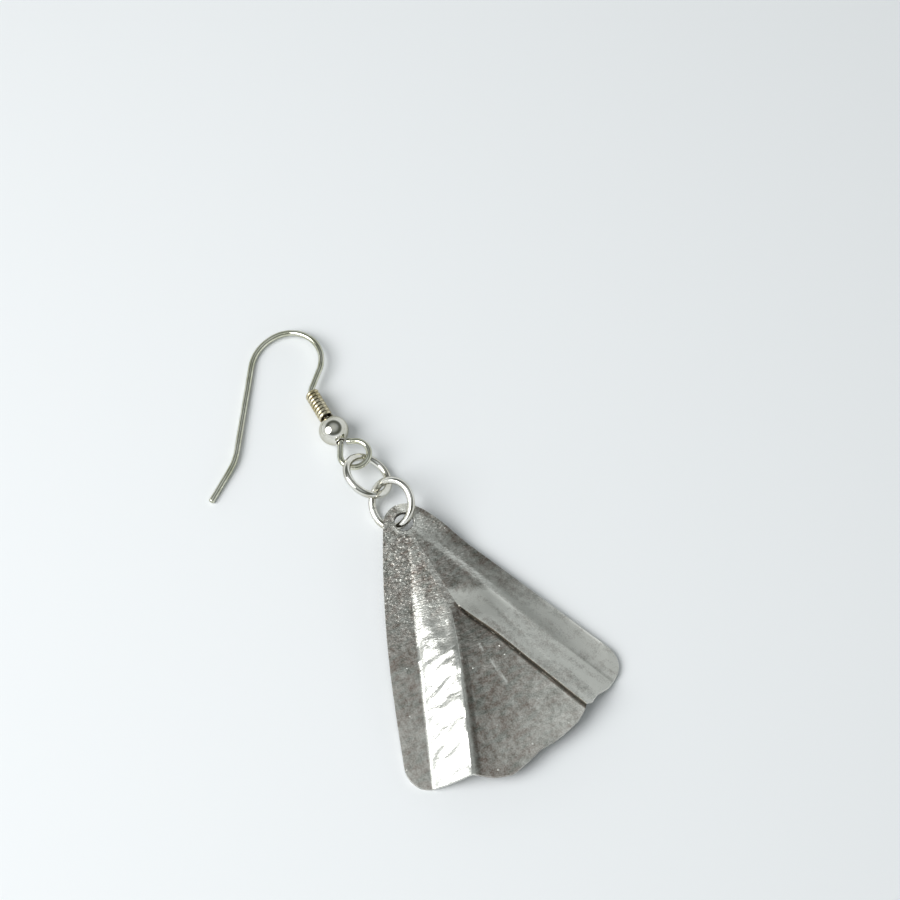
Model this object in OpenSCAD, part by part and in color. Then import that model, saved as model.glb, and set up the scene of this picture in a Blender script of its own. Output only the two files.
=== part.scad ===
// Fan earring lying on a table: a wire hook with bead and coil, two jump rings and a folded fan of sheet.
// Millimetres. +Y runs from the fan towards the hook's arch, +X to the right, +Z up from the table.

/* [Ear hook] */
// Diameter of the hook's wire
wire_d = 0.6; // [0.5:0.05:0.7]
// Straight wire from the bead's centre up to the neck
shank_len = 4.95; // [4.9:0.05:6]
// Radius of the bend at the neck, above the coil
neck_r = 0.7; // [0.6:0.05:0.9]
// Turn of the neck to the right, in degrees
neck_turn = 47.5; // [35:0.5:55]
// Straight wire between neck and arch
neck_len = 2.35; // [1.8:0.05:3]
// Radius of the arch that goes through the ear
arch_r = 3.45; // [3:0.05:4]
// Turn of the arch to the left, in degrees
arch_turn = 136.5; // [130:0.5:146]
// Radius of the wider bend that leads into the leg
crown_r = 4.3; // [3.8:0.1:5]
// Turn of that bend to the left, in degrees
crown_turn = 56; // [46:1:62]
// Straight leg behind the ear
leg_len = 9.75; // [8:0.05:11]
// Radius of the bend between leg and tail
tail_bend_r = 6.3; // [3:0.1:8]
// Turn of the tail away from the leg, in degrees
tail_turn = 21; // [10:1:30]
// Straight tail, up to its cut end
tail_len = 3.75; // [3:0.05:5]

/* [Eye of the hook] */
// Mean radius of the eye, to the middle of the wire
eye_r = 1.47; // [1.3:0.01:1.7]
// Straight side of the eye
eye_side = 1.3; // [1.1:0.1:1.6]
// Straight wire that closes the eye under the bead
eye_close = 0.85; // [0.3:0.05:0.9]
// Turn of the eye out of the shank's line, in degrees
eye_turn = 29; // [20:1:35]

/* [Bead and coil] */
// Diameter of the bead
bead_d = 3; // [2.6:0.1:3.4]
// Diameter of the coil's wire
coil_wire_d = 0.4; // [0.3:0.02:0.4]
// Turns of the coil
coil_turns = 8; // [5:1:8]

/* [Jump rings] */
// Outer diameter of a jump ring
ring_d = 5.45; // [5.2:0.05:6]
// Diameter of a jump ring's wire
ring_wire_d = 0.75; // [0.6:0.05:0.8]

/* [Fan] */
// Length from the hole's centre to the lower edge
fan_len = 26.5; // [22:0.5:32]
// Angle between the two side edges, in degrees
fan_spread = 47.2; // [44:0.2:52]
// Radius of the rounded top
top_r = 2.2; // [2:0.1:2.6]
// From the hole's centre to the top edge
top_margin = 1.9; // [1.6:0.05:2.1]
// Diameter of the hole for the ring
hole_d = 1.9; // [1.8:0.1:2.1]
// Thickness of the sheet
sheet_t = 0.45; // [0.35:0.05:0.5]
// Width of the flat flange along each side edge
flange_w = 2.65; // [2:0.05:3]
// Width of each raised rib, measured flat
rib_w = 3.75; // [3:0.05:4]
// Slope of the ribs, in degrees
rib_slope = 27; // [15:1:32]
// Share of that slope which the ribs have at their top, where they begin
rib_start = 0.3; // [0.2:0.05:1]
// Depth of the middle panel below the ribs' crests
panel_drop = 0.5; // [0.2:0.05:0.8]
// Radius of the left lower corner
left_corner_r = 2.1; // [1.5:0.1:2.6]
// Radius of the right lower corner
right_corner_r = 1.9; // [1.2:0.1:2.5]
// Bulge of the left edge, which is cut by eye
left_bulge = 0.6; // [0:0.05:0.8]
// Bulge of the right edge, nearer the hole
right_bulge = 0.25; // [0:0.05:0.4]
// Dip of the right flange's outer edge towards the table, counted for the whole length of the fan
right_dip = 1.1; // [0:0.1:1.6]

/* [Hidden] */

$fn = 64;
wire_r = wire_d / 2;
bead_r = bead_d / 2;
ring_wire_r = ring_wire_d / 2;
ring_r = ring_d / 2 - ring_wire_r;
// Room between pieces that pass through or sit beside each other
gap = 0.05;

// Hook above and below the bead: straight run, bend radius, turn to the left in degrees
HOOK_BENDS = [
    [shank_len, neck_r, -neck_turn],
    [neck_len, arch_r, arch_turn],
    [0, crown_r, crown_turn],
    [leg_len, tail_bend_r, -tail_turn],
    [tail_len, 0, 0]];
eye_bend_r = wire_d;
eye_drop = bead_r - wire_r / 2;
EYE_BENDS = [
    [eye_drop, eye_bend_r, -eye_turn],
    [eye_side, eye_r, 270],
    [eye_close, 0, 0]];

// Where a bend leaves the wire, from where it enters heading along +Y
function bend_end(r, turn) = [sign(turn) * r * (cos(turn) - 1), r * abs(sin(turn))];
function turned(p, a) = [p.x * cos(a) - p.y * sin(a), p.x * sin(a) + p.y * cos(a)];

// Points along the middle of a bent wire, one every few degrees of each bend
BEND_STEPS = 40;
function wire_path(rows, i = 0, at = [0, 0], a = 0) =
    i == len(rows) ? [at] :
    let (start = at + turned([0, rows[i][0]], a), r = rows[i][1], turn = rows[i][2])
    concat([at],
        [for (k = [0:BEND_STEPS - 1]) start + turned(bend_end(r, turn * k / BEND_STEPS), a)],
        wire_path(rows, i + 1, start + turned(bend_end(r, turn), a), a + turn));

// The lying hook leans on its bead: arch and tail tip both touch the table, so it tilts about the
// line through the bead that is parallel to the line which joins those two
hook_path = wire_path(HOOK_BENDS);
tip = hook_path[len(hook_path) - 1];
hook_line = max([for (p = hook_path) if (p.x > tip.x + tail_len) atan2(p.y - tip.y, p.x - tip.x)]);
hook_tilt = asin((bead_r - wire_r) / (tip.y * cos(hook_line) - tip.x * sin(hook_line)));
// A point of the flat hook, about the bead, as it lies on the table
function lying(p) =
    let (u = [cos(hook_line), sin(hook_line)], v = [-sin(hook_line), cos(hook_line)],
        q = (p * u) * u + (p * v) * cos(hook_tilt) * v)
    [bead_at.x + q.x, bead_at.y + q.y, bead_r - (p * v) * sin(hook_tilt)];

// Each ring leans so far that the wires which cross in it have room. The lower ring goes down through
// the hole and rests on the table beside it; the upper ring leans the other way and hangs in the eye.
UPPER_LEAN = 0.95;
lower_tilt = asin((2 * ring_wire_d + gap) / ring_r);
upper_tilt = asin(UPPER_LEAN * (ring_wire_d + wire_d) / ring_r);
lower_pitch = 6;
lower_drop = ring_r * sqrt(1 - pow(cos(lower_tilt) * cos(lower_pitch), 2));
// Centres, counted from the middle of the fan's hole
lower_at = [-0.05 * ring_r, ring_r, ring_wire_r + lower_drop];
upper_at = lower_at + [-0.285 * ring_r, 2 * ring_r - 1.19 * ring_wire_d, 0];
bead_at = [upper_at.x - 0.38 * eye_r, upper_at.y + ring_r + eye_r + eye_side + 0.775 * bead_r, bead_r];

// Height of the sheet's middle at the hole, where the lower ring crosses it
hole_z = lower_at.z - ring_r * sin(lower_pitch) + 2.3 * gap;

// Side edges meet at a point this far above the hole
half_spread = fan_spread / 2;
apex_to_round = top_r / sin(half_spread);
apex_y = apex_to_round - top_r + top_margin;

// Folds from left to right: side, flanges and ribs in from the side edge at the top, the same at the
// lower edge, and the least share of the half spread that is left of it at the top
FOLDS = [
    [-1, 0.83, 0.00, 1.00, 0.00, 0.20],
    [-1, 0.83, 0.87, 1.00, 0.98, 0.06],
    [1, 0.83, 0.79, 1.00, 1.05, 0.06],
    [1, 0.83, 0.00, 1.00, 0.00, 0.20]];
// Lower edge from left to right: share of the half spread, share of the fan's length
LOWER_EDGE = [
    [-1.00, 0.992], [-0.90, 1.002], [-0.79, 1.007], [-0.66, 1.003], [-0.50, 0.997], [-0.44, 1.008],
    [-0.36, 1.025], [-0.24, 1.036], [-0.12, 1.021], [0.02, 0.999], [0.13, 1.000], [0.24, 0.997],
    [0.37, 0.991], [0.45, 0.978], [0.50, 0.966], [0.54, 0.975], [0.62, 0.966], [0.73, 0.976],
    [0.82, 0.973], [0.94, 0.964], [1.00, 0.958]];
// Middle panel from crest to crest: share of its width, share of its depth
PANEL = [[0.00, 0.00], [0.05, 0.62], [0.12, 0.86], [0.30, 0.98], [0.50, 1.00],
    [0.70, 0.98], [0.88, 0.86], [0.95, 0.62], [1.00, 0.00]];
// Columns in each band between folds, as shares of its width
FLANGE_COLUMNS = [0, 0.03, 0.12, 0.28, 0.5, 0.75];
RIB_COLUMNS = [0, 0.12, 0.3, 0.55, 0.78];
ROWS = 26;
// Rise of a valley fold above the flange's outer edge, in sheet thicknesses
VALLEY_RISE = 0.3;
// Share of a rib's height that its outer shoulder takes at once, at the top, and how sharply
SHOULDER = 0.5;
SHOULDER_POWER = 6;
// Length over which the ribs grow to their full slope, in rib widths
GROWTH = 1.7;
// The folds fade out over this many top radii below the hole, and the sheet is flat around it
FADE = 1.5;

function smooth(x) = let (u = max(0, min(1, x))) u * u * (3 - 2 * u);
function mix(a, b, u) = a + (b - a) * u;

// Angle of fold k at radius r from the point where the edges meet; t runs from the top to the lower edge
function fold_angle(k, r, t) =
    let (f = FOLDS[k],
        inset = mix(f[1], f[3], t) * flange_w + mix(f[2], f[4], t) * rib_w)
    f[0] * max(f[5] * half_spread, half_spread - asin(min(1, inset / r)));
function left_edge(r, t) = -half_spread - asin(left_bulge * sin(180 * t) / r);
function right_edge(r, t) = half_spread + asin(right_bulge * sin(180 * sqrt(t)) / r);
// Bounds of the five bands: flange, rib, panel, rib, flange
function bounds(r, t) = concat([left_edge(r, t)],
    [for (k = [0:3]) fold_angle(k, r, t)], [right_edge(r, t)]);

// Columns as [band, share across the band]
COLUMNS = concat(
    [for (s = FLANGE_COLUMNS) [0, s]], [for (s = RIB_COLUMNS) [1, s]],
    [for (k = [0:len(PANEL) - 2]) [2, PANEL[k][0]]],
    [[3, 0]], [for (k = [1:len(RIB_COLUMNS) - 1]) [3, 1 - RIB_COLUMNS[len(RIB_COLUMNS) - k]]],
    [[4, 0]], [for (k = [1:len(FLANGE_COLUMNS)]) [4, 1 - FLANGE_COLUMNS[len(FLANGE_COLUMNS) - k]]]);

// Radii of the outline at an angle: the round top, and the lower edge with its corners rounded off
function top_edge(a) = apex_to_round * cos(a)
    - sqrt(max(0, pow(top_r, 2) - pow(apex_to_round * sin(a), 2)));
function corner_cut(a, side, r) =
    let (u = max(0, min(1, 1 - (apex_y + fan_len) * sin(half_spread - side * a) / r)))
    r * (1 - sqrt(1 - u * u));
function lower_edge(a) =
    let (s = max(-1, min(1, a / half_spread)),
        r = fan_len * lookup(s, LOWER_EDGE))
    apex_y * cos(a) + sqrt(pow(r, 2) - pow(apex_y * sin(a), 2))
        - corner_cut(a, -1, left_corner_r) - corner_cut(a, 1, right_corner_r);

// Height of the sheet's middle above the plane that the fan lies in
valley_z = VALLEY_RISE * sheet_t;
panel_top_r = (FOLDS[1][1] * flange_w + FOLDS[1][2] * rib_w) / sin((1 - FOLDS[1][5]) * half_spread);
function grown(r) = smooth((r - panel_top_r) / (GROWTH * rib_w));
function rib_z(r, b, band) =
    valley_z + mix(rib_start, 1, grown(r)) * tan(rib_slope) * r * sin(abs(b[band + 1] - b[band]));
// Share of a rib's height at a share of its width from the valley
function rise(s, r) = mix(s, 1 - pow(1 - s, SHOULDER_POWER), SHOULDER * (1 - grown(r)));
// The right flange is bent down a little, most beside its fold, and ends near the table all along
DIP = [[0, 0], [0.3, 0.5], [1, 1]];
function dip(t, s) = right_dip * max(0, 0.95 - t) * smooth((t - 0.08) / 0.2) * lookup(s, DIP);
function sheet_z(r, b, band, s, t) =
    let (left = rib_z(r, b, 1), right = rib_z(r, b, 3),
        wide = smooth((r * sin(b[3] - b[2]) / rib_w - 0.2) / 0.6))
    band == 0 ? valley_z * s :
    band == 1 ? mix(valley_z, left, rise(s, r)) :
    band == 2 ? mix(left, right, s) - panel_drop * wide * lookup(s, PANEL) :
    band == 3 ? mix(valley_z, right, rise(1 - s, r)) :
    valley_z * (1 - s) - dip(t, s);

// A point of the sheet's middle with its height over the sheet's plane; t runs from the top to the
// lower edge
function sheet_point(t, col) =
    let (band = col[0], s = col[1],
        r0 = mix(apex_y - top_margin, apex_y + fan_len, t),
        b = bounds(r0, t),
        a = mix(b[band], b[band + 1], s),
        ae = max(-half_spread, min(half_spread, a)),
        r = mix(top_edge(ae), lower_edge(ae), t),
        folded = smooth((r0 - apex_y) / (FADE * top_r)))
    [r * sin(a), apex_y - r * cos(a), folded * sheet_z(r0, b, band, s, t)];

cols = len(COLUMNS);
sheet = [for (i = [0:ROWS]) for (col = COLUMNS) sheet_point(i / ROWS, col)];
// The lower ring holds the sheet up at the hole, and from there it slopes down until a corner touches
under_hole = hole_z - sheet_t / 2;
slope = min([for (p = sheet) if (p.y < -top_r) (under_hole + p.z) / -p.y]);
under = [for (p = sheet) [p.x, p.y, under_hole + p.z + slope * p.y]];
over = [for (p = under) p + [0, 0, sheet_t]];

function grid_faces(first, flip) = [for (i = [0:ROWS - 1]) for (j = [0:cols - 2])
    let (a = first + i * cols + j, b = a + 1, c = a + cols, d = c + 1)
    each flip ? [[a, c, b], [b, c, d]] : [[a, b, c], [b, d, c]]];
// Walls along the rim, from the numbers of the rim's points
function rim_faces(rim, n) = [for (k = [0:len(rim) - 1])
    let (a = rim[k], b = rim[(k + 1) % len(rim)])
    each [[a, a + n, b + n], [a, b + n, b]]];
rim = concat([for (j = [0:cols - 2]) j],
    [for (i = [0:ROWS - 1]) i * cols + cols - 1],
    [for (j = [0:cols - 2]) ROWS * cols + cols - 1 - j],
    [for (i = [0:ROWS - 1]) (ROWS - i) * cols]);

// Middle of the whole earring, seen from above
tail_a = arch_turn + crown_turn - neck_turn - tail_turn;
left_x = lying(tip).x - wire_r * abs(cos(tail_a));
top_y = max([for (p = hook_path) lying(p).y]) + wire_r;
centre = [(left_x + max([for (p = over) p.x])) / 2, (top_y + min([for (p = over) p.y])) / 2, 0];

// Wire bent through the rows of a table, in the XY plane, starting along +Y. A ball as thick as the
// wire joins each bend to the next row.
JOINT = 0.005;
module bent_wire(rows, r, i = 0) {
    if (i < len(rows)) {
        run = rows[i][0];
        bend = rows[i][1];
        turn = rows[i][2];
        if (i > 0)
            sphere(r = r + JOINT);
        if (run > 0)
            rotate([-90, 0, 0]) cylinder(h = run, r = r);
        translate([0, run, 0]) {
            if (bend > 0)
                mirror([turn < 0 ? 1 : 0, 0, 0])
                    translate([-bend, 0, 0]) rotate_extrude(angle = abs(turn))
                        translate([bend, 0]) circle(r = r);
            translate([sign(turn) * -bend, 0, 0]) rotate([0, 0, turn]) translate([sign(turn) * bend, 0, 0])
                bent_wire(rows, r, i + 1);
        }
    }
}

// Puts what is drawn about the bead's centre, in the hook's flat plane, onto the lying hook
module on_hook() {
    translate(bead_at - centre)
        rotate(a = -hook_tilt, v = [cos(hook_line), sin(hook_line), 0])
            children();
}

module ear_hook() {
    color([0.80, 0.79, 0.72])
        on_hook() {
            bent_wire(HOOK_BENDS, wire_r);
            rotate([0, 0, 180]) bent_wire(EYE_BENDS, wire_r);
        }
}

// Coil wound about +Y: rings of points along a helix, joined by triangles
COIL_STEPS = 16;
COIL_SIDES = 8;
coil_r = wire_r + gap + coil_wire_d / 2;
coil_pitch = coil_wire_d + 0.01;
coil_start = sqrt(pow(bead_r, 2) - pow(coil_r, 2)) + coil_wire_d / 2 + gap;
function coil_point(i, k) =
    let (a = 360 * i / COIL_STEPS, b = 360 * k / COIL_SIDES, r = coil_r + coil_wire_d / 2 * cos(b))
    [r * cos(a), coil_start + coil_pitch * i / COIL_STEPS + coil_wire_d / 2 * sin(b), -r * sin(a)];

module hook_coil() {
    rings = coil_turns * COIL_STEPS;
    points = [for (i = [0:rings]) for (k = [0:COIL_SIDES - 1]) coil_point(i, k)];
    sides = [for (i = [0:rings - 1]) for (k = [0:COIL_SIDES - 1])
        let (a = i * COIL_SIDES + k, b = i * COIL_SIDES + (k + 1) % COIL_SIDES)
        each [[a, b + COIL_SIDES, a + COIL_SIDES], [a, b, b + COIL_SIDES]]];
    ends = [[for (k = [0:COIL_SIDES - 1]) COIL_SIDES - 1 - k],
        [for (k = [0:COIL_SIDES - 1]) rings * COIL_SIDES + k]];
    color([0.80, 0.77, 0.66])
        on_hook() polyhedron(points = points, faces = concat(sides, ends));
}

module hook_bead() {
    color([0.86, 0.85, 0.80])
        on_hook() difference() {
            sphere(r = bead_r);
            rotate([-90, 0, 0]) cylinder(h = 2 * bead_d, r = wire_r + gap, center = true);
        }
}

// Round wire ring; it leans about Y by tilt, then about X by pitch
module jump_ring(at, tilt, pitch) {
    color([0.82, 0.82, 0.76])
        translate(at - centre) rotate([pitch, 0, 0]) rotate([0, tilt, 0])
            rotate_extrude() translate([ring_r, 0]) circle(r = ring_wire_r);
}

module jump_ring_upper() {
    jump_ring(upper_at, upper_tilt, 0);
}

module jump_ring_lower() {
    jump_ring(lower_at, -lower_tilt, lower_pitch);
}

module fan_plate() {
    n = len(over);
    color([0.55, 0.55, 0.52])
        translate(-centre) difference() {
            polyhedron(points = concat(over, under),
                faces = concat(grid_faces(0, false), grid_faces(n, true), rim_faces(rim, n)));
            translate([0, 0, hole_z]) cylinder(h = 4 * top_r, r = hole_d / 2, center = true);
        }
}

ear_hook();
hook_coil();
hook_bead();
jump_ring_upper();
jump_ring_lower();
fan_plate();
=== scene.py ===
# %% [markdown]
# # A fan earring of folded silver sheet
# The earring lies on a pale table: a wire hook with a bead and a coil, two jump rings, and a fan of
# hammered sheet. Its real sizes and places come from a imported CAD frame, so this lesson only has to
# make each piece look as it does in the hand, and then light it.

# %% Load the frame
import math

import bmesh
import bpy
from mathutils import Matrix, Vector, noise
from mathutils.geometry import intersect_point_line


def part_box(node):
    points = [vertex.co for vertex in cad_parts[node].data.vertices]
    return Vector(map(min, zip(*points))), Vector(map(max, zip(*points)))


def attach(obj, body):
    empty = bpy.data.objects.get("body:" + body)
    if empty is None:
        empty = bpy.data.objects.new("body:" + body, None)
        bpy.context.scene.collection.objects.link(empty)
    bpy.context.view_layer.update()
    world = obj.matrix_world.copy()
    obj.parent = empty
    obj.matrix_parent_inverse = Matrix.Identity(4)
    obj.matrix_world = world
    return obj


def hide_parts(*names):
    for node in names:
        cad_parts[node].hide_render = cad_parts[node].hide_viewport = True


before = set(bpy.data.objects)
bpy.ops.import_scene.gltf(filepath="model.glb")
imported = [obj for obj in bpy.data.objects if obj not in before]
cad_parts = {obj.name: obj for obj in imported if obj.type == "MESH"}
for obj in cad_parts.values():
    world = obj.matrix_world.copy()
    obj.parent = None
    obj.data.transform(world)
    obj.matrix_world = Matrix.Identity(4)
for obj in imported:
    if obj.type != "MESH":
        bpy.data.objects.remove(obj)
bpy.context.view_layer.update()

print("nodes in the frame:", sorted(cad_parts))

# %% [markdown]
# ## Millimetres and places
# Blender's scene is in metres, and a jeweller thinks in millimetres. The pieces are therefore shaped
# in millimetres about their own natural point, such as the middle of a ring, and one transform at the
# end scales them and puts them where the frame has them. The middle of a CAD node's box gives the
# centre of a ring or of the bead. The fan is measured from its hole, which the lower ring goes
# through, so its place follows from that ring.

# %% Places from the frame
MM = 0.001


def middle_of(name):
    low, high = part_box(name)
    return (low + high) / 2


BEAD_AT = middle_of("hook_bead")
UPPER_AT = middle_of("jump_ring_upper")
LOWER_AT = middle_of("jump_ring_lower")
RING_R = 2.35
HOLE_ASIDE = 0.05 * RING_R  # the ring hangs a little askew in the hole
GAP = 0.05  # mm, the CAD model's gap between pieces that touch on the real earring
HOLE_AT = Vector((LOWER_AT.x + HOLE_ASIDE * MM, LOWER_AT.y - RING_R * MM, 0))
print("hole at, mm:", [round(x / MM, 2) for x in HOLE_AT])

# %% [markdown]
# ## The camera
# The picture was taken from in front of the table, looking down at 65 degrees, with a long lens from
# 20 cm away. The earring lies turned by 29 degrees to it. The camera therefore stands on a circle
# about the point it looks at, and only three numbers place it: azimuth, elevation and distance. The
# point is the middle of the picture on the table, measured from the fan's hole.

# %% Camera
AZIMUTH = math.radians(-29)
ELEVATION = math.radians(65)
DISTANCE = 198.83 * MM
LOOK_AT = HOLE_AT + Vector((8.23, 5.46, 0)) * MM
SENSOR = 36  # mm
LENS = 2.1761 * SENSOR

away = Vector((math.sin(AZIMUTH) * math.cos(ELEVATION), -math.cos(AZIMUTH) * math.cos(ELEVATION),
               math.sin(ELEVATION)))
camera = bpy.data.objects.new("camera", bpy.data.cameras.new("camera"))
bpy.context.scene.collection.objects.link(camera)
camera.data.sensor_width = SENSOR
camera.data.lens = LENS
camera.data.clip_start = 0.01
camera.location = LOOK_AT + away * DISTANCE
camera.rotation_mode = "QUATERNION"
camera.rotation_quaternion = (-away).to_track_quat("-Z", "Y")
bpy.context.scene.camera = camera
print("camera at, mm:", [round(x / MM, 1) for x in camera.location])

# %% [markdown]
# ## Colours and nodes
# Colours are picked as sRGB hex values, as a paint program shows them, and Blender's shaders want them
# linear, so one function turns them. A second one adds a shader node, with its settings and with each
# input either set or linked. A pattern's scale is its count of cells per metre, so a third one works it
# out from the real width of a cell in millimetres.

# %% Helpers for materials
def linear(code):
    channels = [int(code[i:i + 2], 16) / 255 for i in (1, 3, 5)]
    return [c / 12.92 if c <= 0.04045 else ((c + 0.055) / 1.055) ** 2.4 for c in channels] + [1.0]


def add(tree, kind, inputs=None, **settings):
    made = tree.nodes.new("ShaderNode" + kind)
    for key, value in settings.items():
        setattr(made, key, value)
    for key, value in (inputs or {}).items():
        if isinstance(value, bpy.types.NodeSocket):
            tree.links.new(value, made.inputs[key])
        else:
            made.inputs[key].default_value = value
    return made


def cells_of(width_mm):
    return 1 / (width_mm * MM)


def ramp(tree, fac, stops):
    made = add(tree, "ValToRGB", {"Fac": fac})
    band = made.color_ramp
    while len(band.elements) < len(stops):
        band.elements.new(1.0)
    for element, (at, value) in zip(band.elements, stops):
        element.position = at
        element.color = value if isinstance(value, list) else [value, value, value, 1.0]
    return made.outputs["Color"]


def new_material(name):
    made = bpy.data.materials.new(name)
    made.use_nodes = True
    made.node_tree.nodes.clear()
    tree = made.node_tree
    place = add(tree, "TexCoord").outputs["Object"]
    return made, tree, place


print("white as linear:", [round(x, 3) for x in linear("#ffffff")])

# %% [markdown]
# ## Three curves
# Shapes and stains fade from one value to another, so three small functions are used all through: a
# straight mix, a smooth step from 0 to 1, and a table of points with straight lines between them.

# %% Helpers for curves
def mix(a, b, share):
    return a + (b - a) * share


def smooth(x):
    x = max(0.0, min(1.0, x))
    return x * x * (3 - 2 * x)


def lookup(x, table):
    for (x0, y0), (x1, y1) in zip(table, table[1:]):
        if x <= x1:
            return mix(y0, y1, max(0.0, (x - x0) / (x1 - x0)))
    return table[-1][1]


print("smooth step at a quarter, a half and the end:", smooth(0.25), smooth(0.5), smooth(1.0))

# %% [markdown]
# ## Bright silver plate on wire
# The hook, its coil and the rings are taken to be brass wire with a thin plate of silver. The plate is
# bright and nearly a mirror, slightly warm, with soft patches of shade and a little unevenness from the
# pliers. It is a metal, so its colour is that of its reflection, and a small bump with a low roughness
# is all that keeps it from looking like computer chrome. The wire looks a little darker towards its
# outline, and the specular tint hints at that. Where parts close in on the wire, a dark brown-grey is
# painted into the colour as shade, and a vertex attribute says how much. A piece without it has none.

# %% Silver plate
PATCH_MM, SPECK_MM = 1.4286, 0.1923
# dark brown-grey of the painted shade where parts close in on the wire
PAINTED_SHADE_COLOUR = "#40322a"


def silver_plate(name, colour, shade, edge, roughness, dent):
    material, tree, place = new_material(name)
    patches = add(tree, "TexNoise", {"Vector": place, "Scale": cells_of(PATCH_MM),
                                     "Detail": 3.0}).outputs["Fac"]
    specks = add(tree, "TexNoise", {"Vector": place, "Scale": cells_of(SPECK_MM),
                                    "Detail": 2.0}).outputs["Fac"]
    plate = add(tree, "Mix", {"Factor": ramp(tree, patches, [(0.38, 0.0), (0.62, 1.0)]),
                              "A": linear(colour), "B": linear(shade)}, data_type="RGBA")
    # painted shade: the vertex attribute darkens the plate towards this colour
    painted_shade = add(tree, "Attribute", attribute_name="painted_shade").outputs["Fac"]
    base = add(tree, "Mix", {"Factor": painted_shade, "A": plate.outputs["Result"],
                             "B": linear(PAINTED_SHADE_COLOUR)}, data_type="RGBA")
    rough = add(tree, "MapRange", {"Value": specks, "From Min": 0.35, "From Max": 0.7,
                                   "To Min": roughness, "To Max": 2.2 * roughness})
    bump = add(tree, "Bump", {"Strength": 0.5, "Distance": dent * MM, "Height": patches})
    shader = add(tree, "BsdfPrincipled", {"Base Color": base.outputs["Result"], "Metallic": 1.0,
                                          "Specular Tint": linear(edge),
                                          "Roughness": rough.outputs["Result"],
                                          "Normal": bump.outputs["Normal"]})
    add(tree, "OutputMaterial", {"Surface": shader.outputs["BSDF"]})
    return material


hook_plate = silver_plate("silver_plated_hook_wire", "#e4e4d5", "#c8c9b3", "#70725f", 0.09, 0.06)
coil_plate = silver_plate("silver_plated_coil_wire", "#efe7cd", "#cfc39c", "#6f6548", 0.11, 0.04)
bead_plate = silver_plate("polished_silver_bead", "#eeece5", "#d4d2c6", "#c9c7bd", 0.06, 0.02)
ring_plate = silver_plate("silver_plated_ring_wire", "#f2f1ea", "#dcd9cd", "#7c7a6e", 0.08, 0.06)
print("plated finishes:", [m.name for m in (hook_plate, coil_plate, bead_plate, ring_plate)])

# %% [markdown]
# ## Bending wire
# A jeweller makes the hook from one piece of wire: so much straight, then a bend round a mandrel, then
# straight again. A mesh can be made the same way. It starts as one circle, the wire's section.
# Extruding it makes a straight run, and spinning it about the mandrel's centre makes a bend. Each row
# of a table holds a straight run, a bend radius and a turn to the left in degrees.

# %% Wire tools
def section(bm, radius, sides, at=(0, 0, 0)):
    place = Matrix.Translation(at) @ Matrix.Rotation(math.pi / 2, 4, "X")
    made = bmesh.ops.create_circle(bm, segments=sides, radius=radius, matrix=place)
    return list({e for v in made["verts"] for e in v.link_edges})


def only(geom, kind):
    return [g for g in geom if isinstance(g, kind)]


def bend_wire(bm, edges, rows, heading, step):
    at, angle = Vector((0, 0, 0)), math.radians(heading)
    for run, radius, turn in rows:
        ahead = Vector((-math.sin(angle), math.cos(angle), 0))
        pieces = max(1, round(run / (4 * step)))
        for _ in range(pieces if run > 0 else 0):
            made = bmesh.ops.extrude_edge_only(bm, edges=edges)["geom"]
            moved = only(made, bmesh.types.BMVert)
            bmesh.ops.translate(bm, verts=moved, vec=ahead * run / pieces)
            edges = [e for e in only(made, bmesh.types.BMEdge) if all(v in moved for v in e.verts)]
        at = at + ahead * run
        if turn:
            side = Vector((-ahead.y, ahead.x, 0)) * math.copysign(radius, turn)
            made = bmesh.ops.spin(bm, geom=edges, cent=at + side, axis=(0, 0, 1),
                                  angle=math.radians(turn), use_merge=False,
                                  steps=max(3, round(abs(math.radians(turn)) * radius / step)))
            edges = only(made["geom_last"], bmesh.types.BMEdge)
            at = at + side + Matrix.Rotation(math.radians(turn), 3, "Z") @ -side
            angle += math.radians(turn)
    return edges, at


def close_end(bm, edges, soften):
    face = bmesh.ops.contextual_create(bm, geom=edges)["faces"][0]
    bmesh.ops.bevel(bm, geom=list(face.edges), offset=soften, offset_type="OFFSET", segments=3,
                    profile=0.5, affect="EDGES", material=-1, clamp_overlap=False)


def finish_piece(bm, name, material, nodes, place=Matrix.Identity(4)):
    bmesh.ops.transform(bm, matrix=place @ Matrix.Diagonal((MM, MM, MM, 1)), verts=bm.verts)
    bmesh.ops.remove_doubles(bm, verts=bm.verts, dist=1e-7)
    bmesh.ops.recalc_face_normals(bm, faces=bm.faces)
    for face in bm.faces:
        face.smooth = True
    mesh = bpy.data.meshes.new(name)
    bm.to_mesh(mesh)
    bm.free()
    mesh.materials.append(material)
    piece = bpy.data.objects.new(name, mesh)
    bpy.context.scene.collection.objects.link(piece)
    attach(piece, "root")
    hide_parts(*nodes)
    print(name, len(mesh.polygons), "faces")
    return piece


print("each piece is made in mm and scaled by", MM)

# %% [markdown]
# ## The hook
# The hook starts inside the bead. Upwards it goes through the coil, kinks at the neck, and runs round
# the arch and down the leg to the tail. Downwards it makes the eye that the upper ring hangs in. Lying
# on the table, it leans on its bead, so the flat wire is tilted about a line through the bead until
# the arch and the tip touch down.

# %% Hook
WIRE_R = 0.3
WIRE_SIDES = 24
STEP = 0.12  # mm along a bend
TAIL_ROUND, EYE_ROUND = 0.12, 0.06
HOOK_ROWS = [(4.95, 0.7, -47.5), (2.35, 3.45, 136.5), (0, 4.3, 56), (9.75, 6.3, -21), (3.75, 0, 0)]
EYE_ROWS = [(1.35, 0.6, -29), (1.3, 1.47, 270), (0.85, 0, 0)]
HOOK_TILT = math.radians(-6.64)
HOOK_LINE = math.radians(48.6)
on_hook = (Matrix.Translation(BEAD_AT)
           @ Matrix.Rotation(HOOK_TILT, 4, (math.cos(HOOK_LINE), math.sin(HOOK_LINE), 0)))

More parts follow.
